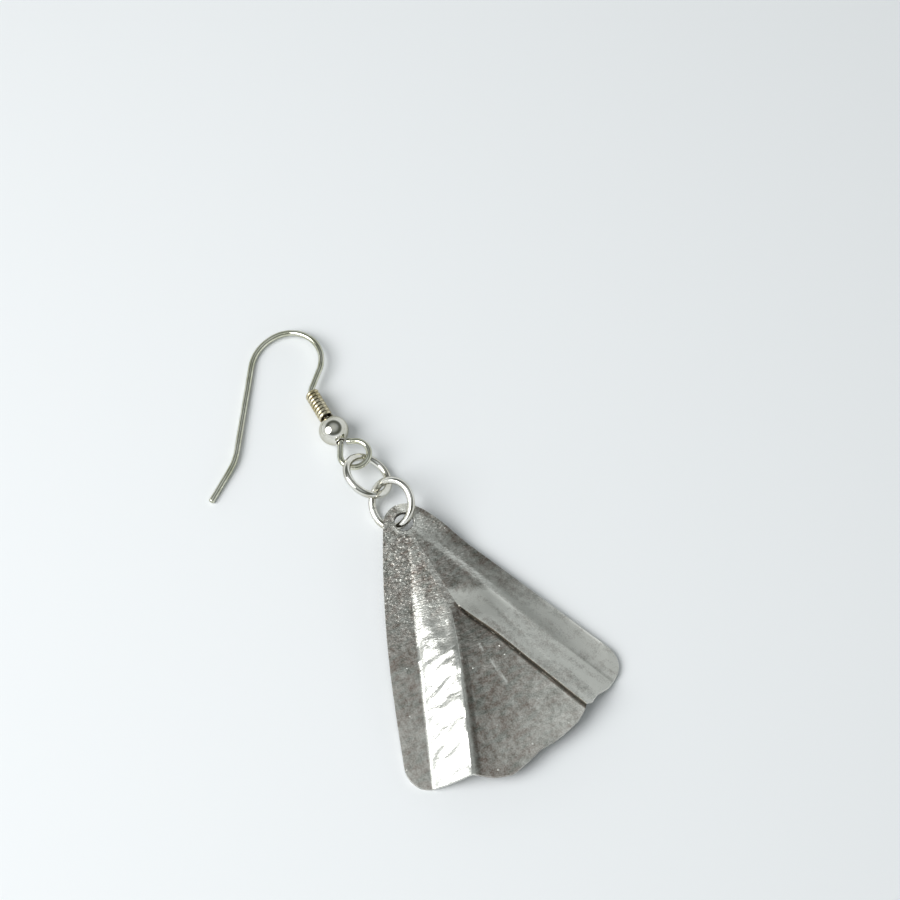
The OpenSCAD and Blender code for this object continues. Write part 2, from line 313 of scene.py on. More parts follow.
bm = bmesh.new()
tail, tip = bend_wire(bm, section(bm, WIRE_R, WIRE_SIDES), HOOK_ROWS, 0, STEP)
close_end(bm, tail, TAIL_ROUND)
eye, eye_end = bend_wire(bm, section(bm, WIRE_R, WIRE_SIDES), EYE_ROWS, 180, STEP)
close_end(bm, eye, EYE_ROUND)
finish_piece(bm, "hook_wire", hook_plate, ["ear_hook"], on_hook)
print("from the bead, mm: tip", [round(x, 2) for x in tip], "eye's end", [round(x, 2) for x in eye_end])

# %% [markdown]
# ## The coil
# Fine wire is wound round the hook above the bead. Spinning a section about the hook's own axis, with
# a small step along it each time, gives the helix. Shade is painted into the grooves between its turns,
# which is what makes the turns stand apart.

# %% Coil
COIL_WIRE_R = 0.195
COIL_GAP = 0.055
COIL_GROOVE_SHADE = 0.9
COIL_TURNS = 8
COIL_PITCH = 0.41
COIL_STEPS = 28
COIL_SIDES = 16
COIL_ROUND = 0.05
coil_r = WIRE_R + COIL_GAP + COIL_WIRE_R
BEAD_R = 1.5
coil_start = math.sqrt(BEAD_R ** 2 - coil_r ** 2) + COIL_WIRE_R + COIL_GAP

bm = bmesh.new()
bmesh.ops.create_circle(bm, segments=COIL_SIDES, radius=COIL_WIRE_R,
                        matrix=Matrix.Translation((coil_r, coil_start, 0)))
first = bm.edges[:]
wound = bmesh.ops.spin(bm, geom=first, cent=(0, 0, 0), axis=(0, 1, 0), use_merge=False,
                       dvec=(0, COIL_PITCH / COIL_STEPS, 0), angle=2 * math.pi * COIL_TURNS,
                       steps=COIL_STEPS * COIL_TURNS)
close_end(bm, only(wound["geom_last"], bmesh.types.BMEdge), COIL_ROUND)
close_end(bm, first, COIL_ROUND)
# painted shade in the grooves between the turns, on the inner side of the wire
painted_shade = bm.verts.layers.float.new("painted_shade")
for vert in bm.verts:
    outwards = math.hypot(vert.co.x, vert.co.z) - coil_r
    vert[painted_shade] = COIL_GROOVE_SHADE * smooth((0.75 * COIL_WIRE_R - outwards) / (0.5 * COIL_WIRE_R))
finish_piece(bm, "hook_coil_wire", coil_plate, ["hook_coil"], on_hook)

# %% [markdown]
# ## The bead
# The bead is a seamless ball with a hole through it. Its profile is an arc from one lip of the hole to
# the other, closed by the straight wall of the hole, and one full spin makes the solid. The lips are
# bevelled, because they are rolled in when such a bead is made. Shade is painted dark round the lower
# lip, where the wire leaves the bead for the eye.

# %% Bead
BORE_R = WIRE_R + GAP
LIP = 0.12
ARC_STEPS, TURN_STEPS = 40, 72
lip = math.asin(BORE_R / BEAD_R)

bm = bmesh.new()
start = bm.verts.new((math.sin(lip) * BEAD_R, math.cos(lip) * BEAD_R, 0))
arc = bmesh.ops.spin(bm, geom=[start], cent=(0, 0, 0), axis=(0, 0, 1), steps=ARC_STEPS,
                     angle=-(math.pi - 2 * lip), use_merge=False)
bm.edges.new((only(arc["geom_last"], bmesh.types.BMVert)[0], start))
bmesh.ops.spin(bm, geom=bm.verts[:] + bm.edges[:], cent=(0, 0, 0), axis=(0, 1, 0), steps=TURN_STEPS,
               angle=2 * math.pi, use_merge=True)
bmesh.ops.remove_doubles(bm, verts=bm.verts, dist=1e-5)
lips = [e for e in bm.edges if all(abs(math.hypot(v.co.x, v.co.z) - BORE_R) < 1e-3 for v in e.verts)
        and abs(e.verts[0].co.y - e.verts[1].co.y) < 1e-3]
bmesh.ops.bevel(bm, geom=lips, offset=LIP, offset_type="OFFSET", segments=3, profile=0.5,
                affect="EDGES", material=-1)
# painted shade round the lower lip, where the wire goes into the bead
painted_shade = bm.verts.layers.float.new("painted_shade")
for vert in bm.verts:
    vert[painted_shade] = float(vert.co.y < 0 and math.hypot(vert.co.x, vert.co.z) < BORE_R + 0.8 * LIP)
finish_piece(bm, "polished_bead", bead_plate, ["hook_bead"], on_hook)

# %% [markdown]
# ## The jump rings
# A jump ring is one turn of a wound wire, cut with a saw and pressed shut, so a hairline stays where
# its ends meet. A section spun almost all the way round, and closed with two flat ends, has that line.

# %% Jump rings
RING_WIRE_R = 0.375
RING_SEAM = 0.03
RING_SIDES, RING_STEPS, RING_ROUND = 28, 108, 0.03
LOWER_PITCH = math.radians(6)


def jump_ring(name, node, at, tilt, pitch, seam_angle):
    bm = bmesh.new()
    first = section(bm, RING_WIRE_R, RING_SIDES, (RING_R, 0, 0))
    spun = bmesh.ops.spin(bm, geom=first, cent=(0, 0, 0), axis=(0, 0, 1), steps=RING_STEPS,
                          use_merge=False, angle=2 * math.pi - RING_SEAM / RING_R)
    for end in (only(spun["geom_last"], bmesh.types.BMEdge), first):
        close_end(bm, end, RING_ROUND)
    place = (Matrix.Translation(at) @ Matrix.Rotation(pitch, 4, "X") @ Matrix.Rotation(tilt, 4, "Y")
             @ Matrix.Rotation(seam_angle, 4, "Z"))
    return finish_piece(bm, name, ring_plate, [node], place)


jump_ring("upper_ring_wire", "jump_ring_upper", UPPER_AT, math.radians(33.08), 0, math.radians(75))
jump_ring("lower_ring_wire", "jump_ring_lower", LOWER_AT, math.radians(-41.27), LOWER_PITCH,
          math.radians(160))

# %% [markdown]
# ## The folds of the fan
# The fan is a flat blank, cut with shears and folded over a sharp edge. Two flat flanges run along its
# side edges, two ribs rise from them, and a panel lies sunk between the ribs. Everything is measured
# in shares of a few widths, in polar coordinates about the point where the side edges would meet.
# The same tables shape the CAD solid, so both agree.

# %% Fan sizes
FAN_LEN = 26.5
HALF = math.radians(47.2 / 2)
TOP_R = 2.2
TOP_MARGIN = 1.9
HOLE_R = 0.95
SHEET_T = 0.45
FLANGE_W = 2.65
RIB_W = 3.75
RIB_SLOPE = math.tan(math.radians(27))
RIB_START = 0.30
PANEL_DROP = 0.5
LEFT_CORNER_R = 2.1
RIGHT_CORNER_R = 1.9
LEFT_BULGE = 0.6
RIGHT_BULGE = 0.25
RIGHT_DIP = 1.1
TO_ROUND = TOP_R / math.sin(HALF)
APEX_Y = TO_ROUND - TOP_R + TOP_MARGIN
# side, flanges and ribs in from the edge at the top, the same below, least share of the half spread
FOLDS = [(-1, 0.83, 0.00, 1.00, 0.00, 0.20), (-1, 0.83, 0.87, 1.00, 0.98, 0.06),
         (1, 0.83, 0.79, 1.00, 1.05, 0.06), (1, 0.83, 0.00, 1.00, 0.00, 0.20)]
# lower edge: share of the half spread, share of the fan's length
LOWER_EDGE = [(-1.00, 0.992), (-0.90, 1.002), (-0.79, 1.007), (-0.66, 1.003), (-0.50, 0.997),
              (-0.44, 1.008), (-0.36, 1.025), (-0.24, 1.036), (-0.12, 1.021), (0.02, 0.999),
              (0.13, 1.000), (0.24, 0.997), (0.37, 0.991), (0.45, 0.978), (0.50, 0.966),
              (0.54, 0.975), (0.62, 0.966), (0.73, 0.976), (0.82, 0.973), (0.94, 0.964),
              (1.00, 0.958)]
# walls of the sunk panel: mm in from the crest, share of its depth
LEFT_WALL = [(0.00, 0.00), (0.35, 0.38), (0.80, 0.76), (2.00, 0.95), (4.00, 1.00)]
RIGHT_WALL = [(0.00, 0.00), (0.12, 0.95), (0.40, 0.98), (4.00, 1.00)]
VALLEY_Z = 0.3 * SHEET_T
# near the hole a rib is rounder; it grows over GROWTH rib widths, and the folds fade in over FADE lobes
SHOULDER, SHOULDER_POWER, GROWTH, FADE = 0.5, 6, 1.7, 1.5
PANEL_TOP = (FOLDS[1][1] * FLANGE_W + FOLDS[1][2] * RIB_W) / math.sin((1 - FOLDS[1][5]) * HALF)
print("edges meet", round(APEX_Y, 2), "mm above the hole; panel starts at radius", round(PANEL_TOP, 2))

# %% [markdown]
# ## From the flat blank to the folded sheet
# A point of the blank is a share of the way down, t, and a share of the way across one of the five
# bands, s. The functions below turn the two into an angle and a radius, and then into a place: first
# the outline with its round lobe, its rounded corners and its wavy lower edge, then the height, which
# climbs each rib and drops into the panel. A last value says how deep in the crease beside the right
# rib the point is.

# %% Fan outline
def bounds(r, t):
    made = [-HALF - math.asin(LEFT_BULGE * math.sin(math.pi * t) / r)]
    for side, flange0, rib0, flange1, rib1, least in FOLDS:
        inset = mix(flange0, flange1, t) * FLANGE_W + mix(rib0, rib1, t) * RIB_W
        made.append(side * max(least * HALF, HALF - math.asin(min(1.0, inset / r))))
    return made + [HALF + math.asin(RIGHT_BULGE * math.sin(math.pi * math.sqrt(t)) / r)]


def top_edge(a):
    return TO_ROUND * math.cos(a) - math.sqrt(max(0.0, TOP_R ** 2 - (TO_ROUND * math.sin(a)) ** 2))


def corner_cut(a, side, r):
    u = max(0.0, min(1.0, 1 - (APEX_Y + FAN_LEN) * math.sin(HALF - side * a) / r))
    return r * (1 - math.sqrt(1 - u * u))


def lower_edge(a):
    r = FAN_LEN * lookup(max(-1.0, min(1.0, a / HALF)), LOWER_EDGE)
    return (APEX_Y * math.cos(a) + math.sqrt(r * r - (APEX_Y * math.sin(a)) ** 2)
            - corner_cut(a, -1, LEFT_CORNER_R) - corner_cut(a, 1, RIGHT_CORNER_R))


print("lower edge's radius in the middle, mm:", round(lower_edge(0.0), 2))

# %% [markdown]
# ## Heights of the folds
# Between two folds the sheet is flat, so each band's height is a mix of the heights of its two folds.
# The panel adds the depth of its walls, and the right flange dips to the table along its outer edge.

# %% Fan heights
def grown(r):
    return smooth((r - PANEL_TOP) / (GROWTH * RIB_W))


def rib_z(r, b, band):
    return VALLEY_Z + mix(RIB_START, 1, grown(r)) * RIB_SLOPE * r * math.sin(abs(b[band + 1] - b[band]))


def rise(s, r):
    return mix(s, 1 - (1 - s) ** SHOULDER_POWER, SHOULDER * (1 - grown(r)))


def dip(t, s):
    return (RIGHT_DIP * max(0.0, 0.95 - t) * smooth((t - 0.08) / 0.2)
            * lookup(s, [(0.0, 0.0), (0.3, 0.5), (1.0, 1.0)]))


def sheet_z(r, b, band, s, t):
    left, right = rib_z(r, b, 1), rib_z(r, b, 3)
    wide = r * math.sin(b[3] - b[2])
    sunk = (min(lookup(s * wide, LEFT_WALL), lookup((1 - s) * wide, RIGHT_WALL))
            * smooth((wide / RIB_W - 0.19) / 0.25))
    return (VALLEY_Z * s, mix(VALLEY_Z, left, rise(s, r)),
            mix(left, right, s) - PANEL_DROP * sunk,
            mix(VALLEY_Z, right, rise(1 - s, r)), VALLEY_Z * (1 - s) - dip(t, s))[band]


def sheet_point(t, band, s, even):
    r0 = mix(APEX_Y - TOP_MARGIN, APEX_Y + FAN_LEN, t)
    b = bounds(r0, t)
    a = mix(mix(b[0], b[5], even), mix(b[band], b[band + 1], s), smooth((t - 0.02) / 0.25))
    band = max(k for k in range(5) if a >= b[k] - 1e-9)
    s = min(1.0, (a - b[band]) / (b[band + 1] - b[band]))
    edge = max(-HALF, min(HALF, a))
    r = mix(top_edge(edge), lower_edge(edge), t)
    folded = smooth((r0 - APEX_Y) / (FADE * TOP_R))
    at = Vector((r * math.sin(a), APEX_Y - r * math.cos(a), folded * sheet_z(r0, b, band, s, t)))
    crease = 1 - smooth(((1 - s) * r0 * math.sin(b[3] - b[2]) - 0.15) / 0.25) if band == 2 else 0.0
    return at, band, s, crease * smooth((t - 0.40) / 0.06)


print("lobe's top, mm:", [round(x, 2) for x in sheet_point(0, 2, 0.5, 0.5)[0]])

# %% [markdown]
# ## Cutting and folding the sheet
# A grid is the flat blank. Its columns are shared out over the five bands, so that every fold falls on
# a line of edges and stays crisp, and each vertex then moves to its place on the folded sheet. The
# vertex keeps four numbers for later: how strong the leather grain, the dark bloom with painted shade
# and light in it, and the frost are there, and how far the hammer moved it.

# %% Fan blank
BAND_COLUMNS = [14, 26, 60, 26, 14]
ROWS = 300
columns = [(band, k / n) for band, n in enumerate(BAND_COLUMNS) for k in range(n)] + [(4, 1.0)]


def column_share(band, s):
    if band == 0:
        return s ** 1.5
    if band == 4:
        return 1 - (1 - s) ** 1.5
    if band == 2:
        return mix(s, 0.5 - 0.5 * math.cos(math.pi * s), 0.7)
    return s


bm = bmesh.new()
bmesh.ops.create_grid(bm, x_segments=len(columns) - 1, y_segments=ROWS, size=1)
float_layer = bm.verts.layers.float
grain, dark, frost, relief = [float_layer.new(n) for n in ("grain", "dark", "frost", "relief")]

print("columns:", len(columns), "rows:", ROWS)

# %% [markdown]
# ## Leather, bloom and frost
# The sheet was struck all over near the hole, which left its face like fine leather. Where the metal
# was heated a thin dark bloom is left, and where it was scoured it is frosted: rougher, and so paler.
# The dark table holds that bloom and also painted shade and light, which set how bright each band
# looks, such as painted shade on the upper part of the left rib.
# One small table per band says how strong each is on the way down from the hole to the lower edge.
# The bands are, from the left: flange, rib, sunk panel, rib, flange.

# %% Strengths by band
# (share of the way down, strength), with one row per band
GRAIN = [
    [(0, 1), (0.18, 1), (0.4, 0.45), (0.6, 0.1), (1, 0.05)],
    [(0, 0.8), (0.3, 0.65), (0.42, 0.45), (0.55, 0.15), (1, 0.05)],
    [(0, 0.8), (0.38, 0.45), (0.44, 0.3), (1, 0.1)],
    [(0, 0.8), (0.33, 0.4), (0.38, 0.1), (1, 0.0)],
    [(0, 0.6), (0.25, 0.4), (0.45, 0.1), (1, 0.0)]]
# bloom, with painted shade and light in it that set each band's brightness
DARK = [
    [(0, 0.4), (0.3, 0.55), (0.6, 0.75), (0.8, 0.6), (1, 0.6)],
    [(0, 0.6), (0.25, 0.5), (0.36, 0.15), (0.42, 0.0), (1, 0.0)],
    [(0, 0.25), (0.38, 0.45), (0.44, 0.7), (0.7, 0.85), (1, 0.8)],
    [(0, 0.3), (0.30, 0.7), (0.34, 0.7), (0.39, -0.3), (0.55, 0.2), (0.7, 0.2), (1, 0.0)],
    [(0, 0.0), (0.15, 0.25), (0.35, 0.45), (0.6, 0.15), (1, -0.1)]]
FROST = [
    [(0, 0.4), (0.5, 0.35), (1, 0.5)],
    [(0, 0.4), (0.28, 0.7), (0.42, 0.7), (0.55, 0.3), (1, 0.15)],
    [(0, 0.4), (0.38, 0.4), (0.44, 0.25), (0.7, 0.4), (1, 0.6)],
    [(0, 0.4), (0.34, 0.35), (0.38, 1.0), (0.6, 0.75), (1, 0.9)],
    [(0, 0.55), (0.3, 0.4), (0.6, 0.65), (1, 1.0)]]
print("bloom at the lower edge, by band:", [rows[-1][1] for rows in DARK])

# %% [markdown]
# ## Hammer marks
# The left rib was struck across with the edge of a hammer, and the other bands with its flat face. The
# rib's marks are about a fifth of a millimetre deep and the others a few hundredths, chosen so that
# the reflections break up as on the real piece. They are in the mesh, so that they also show from the
# side. A mark is a Voronoi cell drawn out along the hammer's stroke, with noise to make it uneven.
# Blender takes the seed of noise_vector from the clock, so one is set here, and the marks are the same
# on each run.

# %% Dents
MARKS_SEED = 3
noise.seed_set(MARKS_SEED)
STROKE, ACROSS = Vector((0.96, 0.28, 0)), Vector((-0.28, 0.96, 0))
FLAT_DENT, SWELL = 0.014, 0.010  # mm
RIB_DENT, RIB_DENT_BELOW = 0.21, 0.14
FINE_DENT, BEADING = 0.004, 0.02


def dents(p, wide, tall, seed):
    q = Vector((p.dot(STROKE) / wide, p.dot(ACROSS) / tall, seed))
    near = noise.voronoi(q + 0.3 * noise.noise_vector(1.7 * q))[0][0]
    return min(1.0, near) + 0.4 * noise.noise(2.3 * q)


def marks(p, band, s, t):
    flat = FLAT_DENT * dents(p, 2.6, 1.9, 5.0) + SWELL * noise.noise(p / 2.8)
    if band != 1:
        return flat
    struck = smooth((t - 0.30) / 0.20) * mix(RIB_DENT, RIB_DENT_BELOW, smooth((t - 0.65) / 0.2))
    beads = max(0.0, 1 - s / 0.14) * noise.noise(Vector((0, p.y / 0.28, 3.0)))
    inside = min(1.0, s / 0.12, (1 - s) / 0.12)
    fine = noise.noise(Vector((p.dot(STROKE) / 0.8, p.dot(ACROSS) / 0.3, 7.0)))
    return (flat + BEADING * beads * smooth((0.42 - t) / 0.15)
            + inside * (struck * dents(p, 2.8, 1.4, 4.0) + FINE_DENT * fine))


print("a flat dent and a rib's, mm:", round(marks(Vector((0, -20, 0)), 2, 0.5, 0.7), 3),
      round(marks(Vector((-5, -20, 0)), 1, 0.5, 0.7), 3))

# %% [markdown]
# ## Where the bloom wears through, and painted light and shade
# Crests lose their bloom first, and the panel is paler towards its lower right corner. Painted light
# and shade go in here too. The left rib has painted glints along its crest and painted shade on the side
# away from it. The panel has a pale line along its left crest, from wear and a painted highlight. The
# right flange has a painted light strip beside its fold and is darker along its outer edge, with bloom
# and painted shade. Two fine scratches cross the panel, and the crease beside the right rib holds
# painted shade, the darkest of all.

# %% Bloom, painted light and shade at a point
SCRATCHES = [(Vector((0.34, -16.7, 0)), Vector((0.66, -19.3, 0))),
             (Vector((0.19, -14.8, 0)), Vector((0.19, -15.5, 0)))]
SCRATCH_W = 0.16  # mm, wider than the real one, so that it shows in the render
SCRATCH_DEPTH, CREASE_PAINTED_SHADE, STREAK = 0.7, 1.8, 0.4


def corner(band, s, t):
    return 0.5 * s * smooth((t - 0.5) / 0.5) if band == 2 else 0.0


def worn_and_painted_light(p, band, s, t):
    # painted glints along the crest, and painted shade on the rib's far side
    if band == 1:
        glint = noise.noise(Vector((0, p.y / 0.35, 9.0)))
        rib_painted_shade = 0.3 * smooth((s - 0.25) / 0.3) * smooth((t - 0.2) / 0.1) * (1 - smooth((t - 0.4) / 0.14))
        return (glint - 0.1) * smooth(1 - s / 0.15) * (1 - smooth((t - 0.3) / 0.15)) - rib_painted_shade
    # paler towards the lower right corner, and a pale line along the left crest from wear and a painted
    # highlight
    if band == 2:
        return corner(band, s, t) + smooth(1 - s / 0.06) * smooth((t - 0.4) / 0.1)
    # a painted light strip beside the fold, and darker along the outer edge with bloom and painted shade
    if band == 4:
        return 0.6 * (smooth(1 - abs(s - 0.16) / 0.2) - smooth((s - 0.5) / 0.4)) * (1 - t)
    return 0.0


def scratched(p, start, end):
    near = intersect_point_line(p, start, end)
    along = min(1.0, max(0.0, near[1]))
    return max(0.0, 1 - (p.xy - start.xy.lerp(end.xy, along)).length / SCRATCH_W)


def bloom_and_shade_at(p, band, s, t, crease):
    slanted = t - 0.09 * s * (1 - smooth((t - 0.45) / 0.3)) if band == 3 else t
    # painted shade in the crease beside the right rib
    made = max(0.0, lookup(slanted, DARK[band]) - worn_and_painted_light(p, band, s, t)) + CREASE_PAINTED_SHADE * crease
    if band > 2:
        made += STREAK * noise.noise(Vector((5 * s, 5 * t, 3.0 * band))) * smooth((t - 0.36) / 0.1)
    return made - SCRATCH_DEPTH * max(scratched(p, *ends) for ends in SCRATCHES)


print("bloom in the middle of the panel:", round(bloom_and_shade_at(Vector((3, -20, 0)), 2, 0.5, 0.7, 0.0), 2))

# %% [markdown]
# ## Fold the blank
# Each vertex of the grid moves to its place on the folded sheet and is given its strengths. Rows are
# closer near the hole, where the bands are narrow. The hammer leaves the lobe above the hole alone.

# %% Folded blank
for vert in bm.verts:
    even = (vert.co.x + 1) / 2
    band, s = columns[round(even * (len(columns) - 1))]
    t = (1 - vert.co.y) / 2
    t = mix(t, t * t, 0.25)
    vert.co, band, s, crease = sheet_point(t, band, column_share(band, s), even)
    vert[relief] = marks(vert.co, band, s, t) * smooth((1.5 - vert.co.y) / 3)
    vert[grain] = lookup(t, GRAIN[band])
    vert[dark] = bloom_and_shade_at(vert.co, band, s, t, crease)
    vert[frost] = min(1.0, lookup(t, FROST[band]) + corner(band, s, t))
print("blank:", len(bm.faces), "faces")

# %% [markdown]
# ## Drill the hole and lay the sheet down
# The lower ring holds the sheet up at its hole, and the rest slopes down until it touches the table.
# The faces inside the hole are deleted, and the ring of vertices left round it is drawn onto the
# drill's circle.

# %% Fan hole and slope
RING_TO_SHEET = 2.3 * GAP  # the ring's clearance where it goes through the hole
under_hole = LOWER_AT.z / MM - RING_R * math.sin(LOWER_PITCH) + RING_TO_SHEET - SHEET_T / 2
slope = min((under_hole + v.co.z) / -v.co.y for v in bm.verts if v.co.y < -TOP_R)
for vert in bm.verts:
    vert.co.z += under_hole + SHEET_T + slope * vert.co.y + vert[relief]
inside = [f for f in bm.faces if f.calc_center_median().xy.length < HOLE_R]
bmesh.ops.delete(bm, geom=inside, context="FACES")
for vert in bm.verts:
    if vert.is_boundary and vert.co.xy.length < 1.3 * HOLE_R:
        vert.co.xy = vert.co.xy.normalized() * HOLE_R
float_layer.remove(relief)
print("slope of the lying sheet, degrees:", round(math.degrees(math.atan(slope)), 2))

# %% [markdown]
# ## Give it thickness
# The ring's rubbing has left a low bright lip on the lower side of the hole, whose paler colour is also
# a painted highlight, and the wall of the hole is painted dark as shade. A narrow inset along the rim is
# set down a little, as shears leave it, and the whole sheet is extruded downwards by its thickness. Its
# cut face is painted dark towards the underside, as shade.

# %% Fan thickness
RIM = 0.035
LIP_HEIGHT = 0.035
# painted shade on the hole's wall and the cut face; the lower lip paler, from wear and a painted
# highlight
HOLE_WALL_SHADE, CUT_FACE_SHADE, LIP_WEAR_AND_SHINE = 2.0, 1.7, -0.4
for vert in bm.verts:
    off = vert.co.xy.length - HOLE_R
    lower_side = smooth((0.3 - vert.co.y / HOLE_R) / 0.9)
    vert[dark] = (HOLE_WALL_SHADE if off < 0.02
                  else mix(vert[dark], LIP_WEAR_AND_SHINE, lower_side * smooth(1 - abs(off - 0.2) / 0.2)))
    vert.co.z += LIP_HEIGHT * lower_side * smooth(1 - abs(off - 0.16) / 0.16)
bmesh.ops.inset_region(bm, faces=bm.faces[:], thickness=RIM, use_boundary=True, use_even_offset=True)
for vert in bm.verts:
    if vert.is_boundary:
        vert.co.z -= RIM
skin = bmesh.ops.extrude_face_region(bm, geom=bm.faces[:])["geom"]
# the cut face is painted dark as shade towards the underside
for vert in only(skin, bmesh.types.BMVert):
    vert.co.z -= SHEET_T - (RIM if vert.is_boundary else 0)
    if vert.is_boundary:
        vert[dark] = CUT_FACE_SHADE
lift = max(0.0, -min(v.co.z for v in bm.verts))
bmesh.ops.translate(bm, verts=bm.verts, vec=(0, 0, lift))
print("sheet moved up by, mm:", round(lift, 4))

# %% [markdown]
# ## Hammered silver
# The sheet is silver that was folded, hammered and left with a satin face. Clean, it is a pale grey;
# the bloom on it is brown-grey and mottled, with faint pink and green in it, as thin oxide has. Its
# face scatters more than the wire's, and frosted places more still.
#
# The patterns are, from coarse to fine: clouds of bloom, a tint, mottling, the leather grain, and the
# grit of the satin face. The leather's strokes are about half a millimetre long and a fifth wide. Real
# grit is finer than 0.15 mm, but nothing finer shows in the render. Pale specks stand in the bloom,
# where it was rubbed through.

# %% Patterns of the sheet
CLOUD_MM, TINT_MM, MOTTLE_MM = 1.923, 1.316, 0.4762
LEATHER_MM, GRIT_MM, SPECK_CELL_MM = 0.4762, 0.15385, 0.6667
sheet, tree, place = new_material("hammered_satin_silver")
grainy, bloom_and_shade, frosted = [add(tree, "Attribute", attribute_name=n).outputs["Fac"]
                            for n in ("grain", "dark", "frost")]


def sheet_noise(width_mm, detail, where=place, distortion=0.0):
    return add(tree, "TexNoise", {"Vector": where, "Scale": cells_of(width_mm), "Detail": detail,
                                  "Distortion": distortion}).outputs["Fac"]


def sheet_math(operation, *values):
    return add(tree, "Math", dict(enumerate(values)), operation=operation).outputs[0]


along = add(tree, "Mapping", {"Vector": place, "Rotation": (0, 0, math.radians(-16)),
                              "Scale": (1.0, 2.6, 1.0)}).outputs["Vector"]
cloud = sheet_noise(CLOUD_MM, 3.0)
tint = sheet_noise(TINT_MM, 2.0, along)
mottle = sheet_noise(MOTTLE_MM, 3.0)
fine = sheet_noise(GRIT_MM, 2.0)
leather = sheet_noise(LEATHER_MM, 2.0, along, 0.4)
cells = add(tree, "TexVoronoi", {"Vector": place, "Scale": cells_of(SPECK_CELL_MM)})
lone = ramp(tree, add(tree, "SeparateXYZ", {"Vector": cells.outputs["Color"]}).outputs["X"],
            [(0.90, 0.0), (0.92, 1.0)])
spots = sheet_math("MULTIPLY", lone, ramp(tree, cells.outputs["Distance"], [(0.05, 1.0), (0.19, 0.0)]))
print("noise patterns:", [round(cells_of(x)) for x in (CLOUD_MM, MOTTLE_MM, GRIT_MM)], "cells a metre")

# %% [markdown]
# ## Colour and gloss of the sheet
# The patterns are added to the bloom and painted shade that each vertex carries, so a strong bloom
# closes up and a weak one breaks into patches. The sum mixes clean silver with the bloom's three tints,
# and beyond that with a dark brown-grey, which is the painted shade of the crease, the hole's wall and
# the cut face, and also the deepest bloom. Frost, grain and grit each add to the roughness.

# %% Colour of the sheet
# the dark brown-grey paints shade in the crease, the hole and the cut face, and the deepest bloom
CLEAN, DEEP_BLOOM_AND_SHADE = "#e3e3dc", "#55524b"
BLOOM_TINTS = [(0.34, "#797b73"), (0.50, "#80786f"), (0.66, "#84776e")]
BLOOM_START, DEEP_START = 0.42, 1.2
PIT_BLOOM, SPECK_SHINE = 0.4, 2.0

# bloom with painted shade and light from the vertices, with the patterns added
bloom_and_shade_here = bloom_and_shade
for pattern, low, high, share in ((cloud, 0.34, 0.66, 0.22), (mottle, 0.36, 0.64, 0.24),
                                  (fine, 0.36, 0.64, 0.30)):
    strength = ramp(tree, pattern, [(low, 0.0), (high, 1.0)])
    bloom_and_shade_here = sheet_math("MULTIPLY_ADD", strength, share, bloom_and_shade_here)
pits = sheet_math("MULTIPLY", ramp(tree, leather, [(0.36, 1.0), (0.58, 0.0)]), grainy)
bloom_and_shade_here = sheet_math("MULTIPLY_ADD", pits, PIT_BLOOM, bloom_and_shade_here)
bloom_and_shade_here = sheet_math("SUBTRACT", bloom_and_shade_here, BLOOM_START)
specks = sheet_math("MULTIPLY", spots, sheet_math("MULTIPLY", bloom_and_shade, SPECK_SHINE))
bloom_and_shade_here = sheet_math("SUBTRACT", bloom_and_shade_here, specks)

bloom = ramp(tree, tint, [(at, linear(code)) for at, code in BLOOM_TINTS])
faced = add(tree, "Mix", {"Factor": bloom_and_shade_here, "A": linear(CLEAN), "B": bloom},
            data_type="RGBA", clamp_factor=True)
base = add(tree, "Mix", {"Factor": sheet_math("SUBTRACT", bloom_and_shade_here, DEEP_START),
                         "A": faced.outputs["Result"], "B": linear(DEEP_BLOOM_AND_SHADE)}, data_type="RGBA",
           clamp_factor=True)

SATIN, FROSTED, GRAINED, GRITTY = 0.16, 0.29, 0.10, 0.10
rough = sheet_math("MULTIPLY_ADD", frosted, FROSTED, SATIN)
rough = sheet_math("MULTIPLY_ADD", grainy, GRAINED, rough)
rough = sheet_math("MULTIPLY_ADD", ramp(tree, fine, [(0.35, 0.0), (0.65, 1.0)]), GRITTY, rough)
print("roughness from", SATIN, "to", round(SATIN + FROSTED + GRAINED + GRITTY, 2))

# %% [markdown]
# ## Relief of the sheet
# The grit, the leather and the specks are too fine for the mesh, so they are bumps on top of each
# other, with the heights given below. The grain drives the strength of the leather's bump and not its
# height, because a height that changes from one narrow band to the next would draw a bright line along
# the fold.

# %% Relief and the finished fan
SHARP = math.radians(42)  # a fold stays crisp above this angle
GRIT_HEIGHT, LEATHER_HEIGHT, SPECK_HEIGHT = 0.012, 0.26, 0.06  # mm

fine_bump = add(tree, "Bump", {"Strength": 0.4, "Distance": GRIT_HEIGHT * MM, "Height": fine})
leather_bump = add(tree, "Bump", {"Strength": grainy, "Distance": LEATHER_HEIGHT * MM, "Height": leather,
                                  "Normal": fine_bump.outputs["Normal"]})
spot_bump = add(tree, "Bump", {"Strength": sheet_math("MULTIPLY", bloom_and_shade, bloom_and_shade),
                               "Distance": SPECK_HEIGHT * MM, "Height": spots,
                               "Normal": leather_bump.outputs["Normal"]})
shader = add(tree, "BsdfPrincipled", {"Base Color": base.outputs["Result"], "Metallic": 1.0,
                                      "Roughness": rough, "Normal": spot_bump.outputs["Normal"]})
add(tree, "OutputMaterial", {"Surface": shader.outputs["BSDF"]})
fan = finish_piece(bm, "hammered_fan", sheet, ["fan_plate"],
                   Matrix.Translation(HOLE_AT))
fan.data.set_sharp_from_angle(angle=SHARP)
print("fan's attributes:", [layer.name for layer in fan.data.attributes if layer.data_type == "FLOAT"])

# %% [markdown]
# ## The table
# A sheet of pale card, large enough that its edge is never seen.

